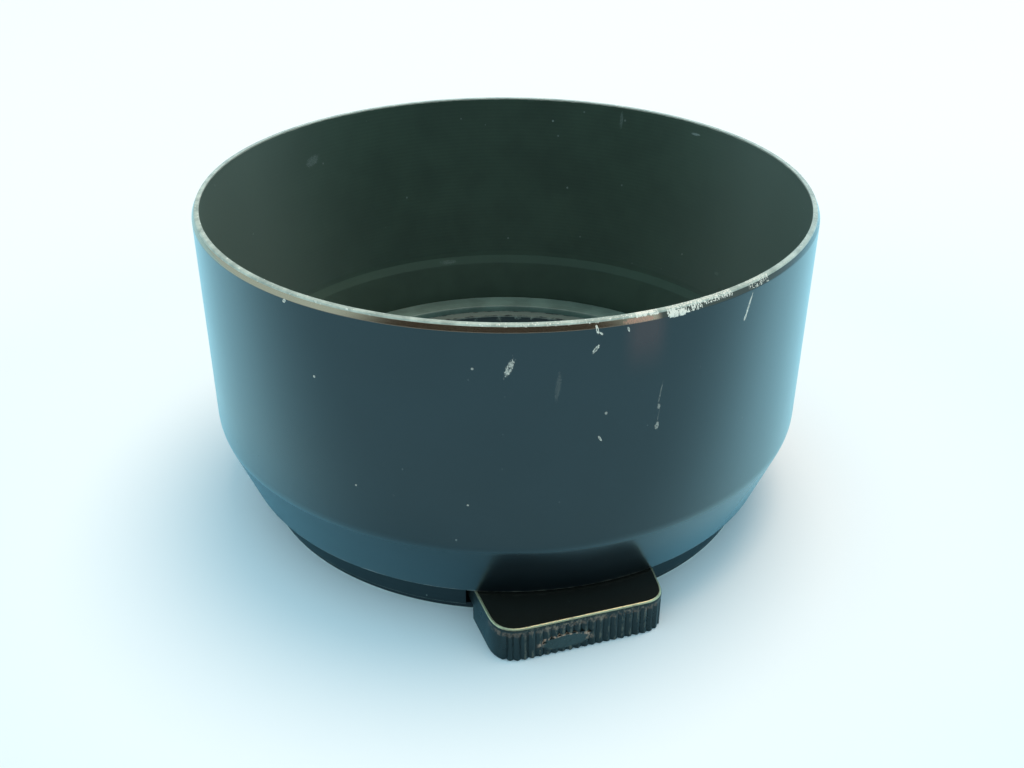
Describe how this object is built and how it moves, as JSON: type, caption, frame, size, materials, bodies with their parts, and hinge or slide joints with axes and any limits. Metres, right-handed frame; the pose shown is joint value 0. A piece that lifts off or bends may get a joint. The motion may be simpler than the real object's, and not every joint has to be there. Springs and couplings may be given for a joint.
{
  "type": "lens hood",
  "caption": "Round metal clip-on lens hood with a straight wall, a cone step at its mounting end and squeeze tabs whose pivoted claws grip the lens rim.",
  "frame": {"origin": "centre of the hood's axis on the plane of its mounting end, where it stands on a table", "axes": "+Z along the optical axis from the mounting end to the open rim; -Y towards the front release tab; +Y towards the back release tab"},
  "size_m": [0.072, 0.077, 0.038],
  "materials": {
    "barrel_enamel": "gloss",
    "ring_enamel": "satin",
    "lock_enamel": "satin",
    "cover_enamel": "matte",
    "tab_enamel": "satin",
    "arm_steel": "satin",
    "spring_steel": "polished",
    "pin_steel": "polished",
    "spacer_brass": "satin",
    "screw_steel": "satin"
  },
  "bodies": {
    "hood": {"hood_barrel": "barrel_enamel", "mount_ring": "ring_enamel", "lock_ring": "lock_enamel", "cover_plate": "cover_enamel", "cover_screw_1": "screw_steel", "cover_screw_2": "screw_steel", "cover_screw_3": "screw_steel", "cover_screw_4": "screw_steel", "return_spring_front": "spring_steel", "pivot_pin_front": "pin_steel", "pivot_spacer_front": "spacer_brass", "return_spring_back": "spring_steel", "pivot_pin_back": "pin_steel", "pivot_spacer_back": "spacer_brass"},
    "front_latch": {"latch_arm_front": "arm_steel", "release_tab_front": "tab_enamel", "tab_screw_front_1": "screw_steel", "tab_screw_front_2": "screw_steel"},
    "back_latch": {"latch_arm_back": "arm_steel", "release_tab_back": "tab_enamel", "tab_screw_back_1": "screw_steel", "tab_screw_back_2": "screw_steel"}
  },
  "joints": [
    {"name": "front_latch_press", "type": "hinge", "parent": "hood", "child": "front_latch", "pos_m": [0.01328, -0.02618, 0.0015], "axis": [0, 0, 1], "range_deg": [-4, 0], "stiffness_Nm_per_rad": 0.2, "springref_deg": 5.73, "deforming": ["return_spring_front"]},
    {"name": "back_latch_press", "type": "hinge", "parent": "hood", "child": "back_latch", "pos_m": [-0.01328, 0.02618, 0.0015], "axis": [0, 0, 1], "range_deg": [-4, 0], "stiffness_Nm_per_rad": 0.2, "springref_deg": 5.73, "deforming": ["return_spring_back"]}
  ]
}
